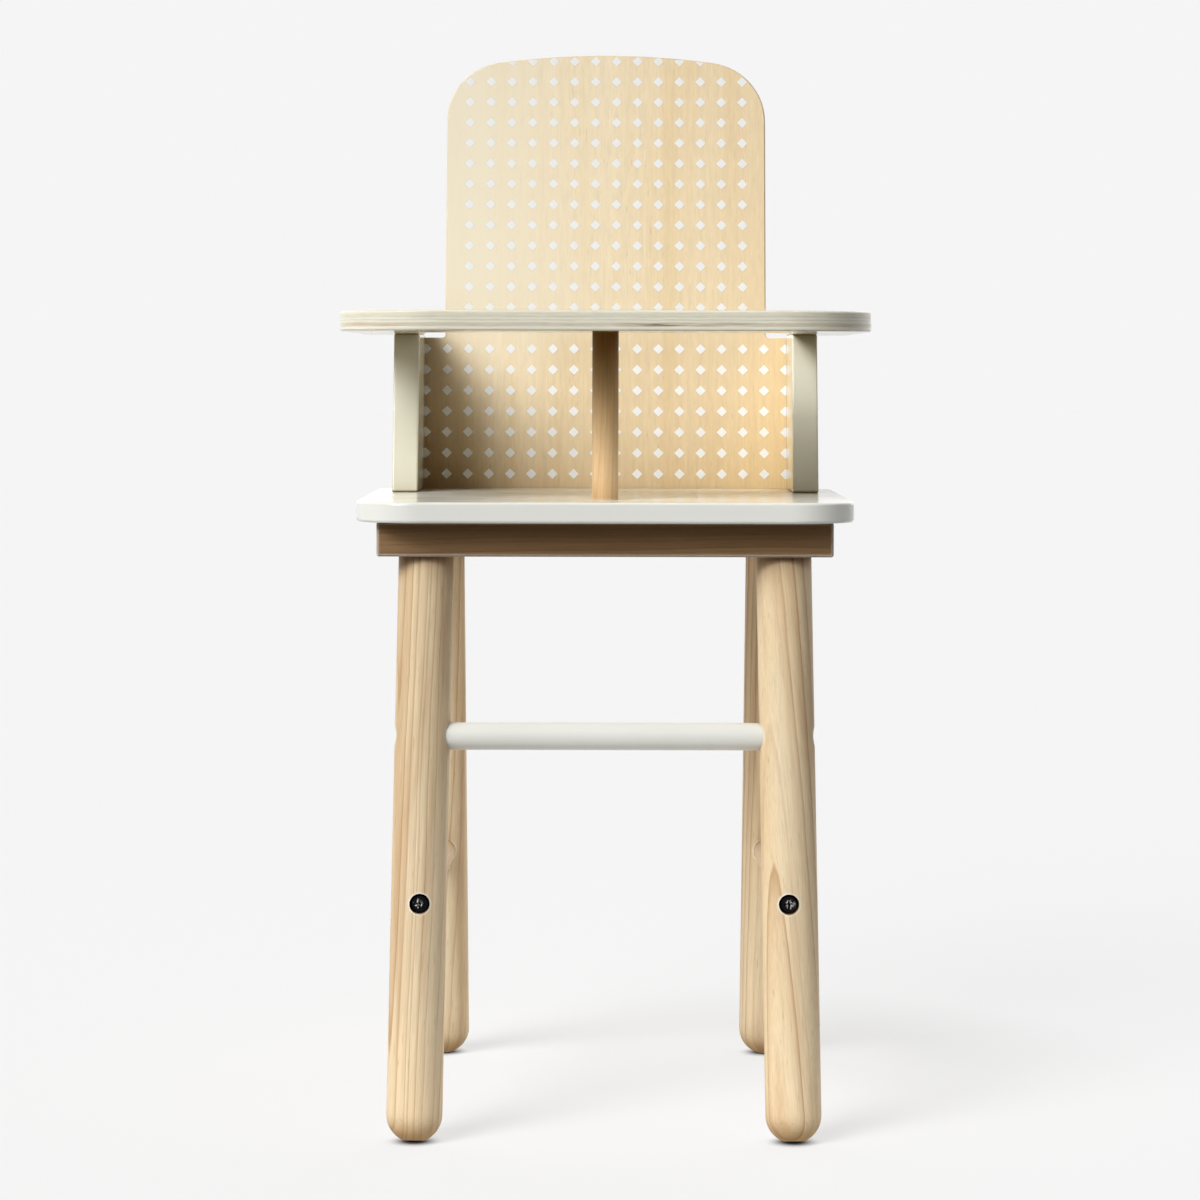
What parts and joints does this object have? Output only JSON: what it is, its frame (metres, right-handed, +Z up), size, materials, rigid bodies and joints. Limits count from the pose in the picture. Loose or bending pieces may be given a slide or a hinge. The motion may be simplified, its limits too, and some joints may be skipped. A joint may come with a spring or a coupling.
{
  "type": "doll high chair",
  "caption": "Toy high chair for a doll, with a crowned leaning backrest, a U-shaped tray on a post and splayed round legs joined by stretchers.",
  "frame": {"origin": "middle of the footprint box, on the floor", "axes": "+Z up, -Y towards the front where the tray is, +X to the right as seen from the front"},
  "size_m": [0.2412, 0.2732, 0.5012],
  "materials": {
    "white_paint": "satin off-white paint",
    "printed_plywood": "clear lacquer over a white printed grid",
    "tray_plywood": "clear lacquer",
    "rail_wood": "clear lacquer",
    "leg_pine": "clear matt lacquer",
    "dowel_wood": "clear matt lacquer",
    "black_screw_steel": "black oxide",
    "zinc_steel": "zinc plated"
  },
  "bodies": {
    "root": {"seat_board": "white_paint", "front_rail": "rail_wood", "rear_rail": "rail_wood", "backrest_panel": "printed_plywood", "armrest_left": "white_paint", "armrest_right": "white_paint", "tray_board": "tray_plywood", "tray_post": "dowel_wood", "front_leg_left": "leg_pine", "front_leg_right": "leg_pine", "rear_leg_left": "leg_pine", "rear_leg_right": "leg_pine", "front_stretcher": "white_paint", "side_stretcher_left": "dowel_wood", "side_stretcher_right": "dowel_wood", "stretcher_screws": "black_screw_steel", "backrest_screws": "black_screw_steel", "armrest_screws": "black_screw_steel", "post_screw": "black_screw_steel", "rail_screws": "black_screw_steel", "leg_bolts": "zinc_steel", "rail_inserts": "zinc_steel", "tray_pins": "dowel_wood"}
  },
  "joints": []
}
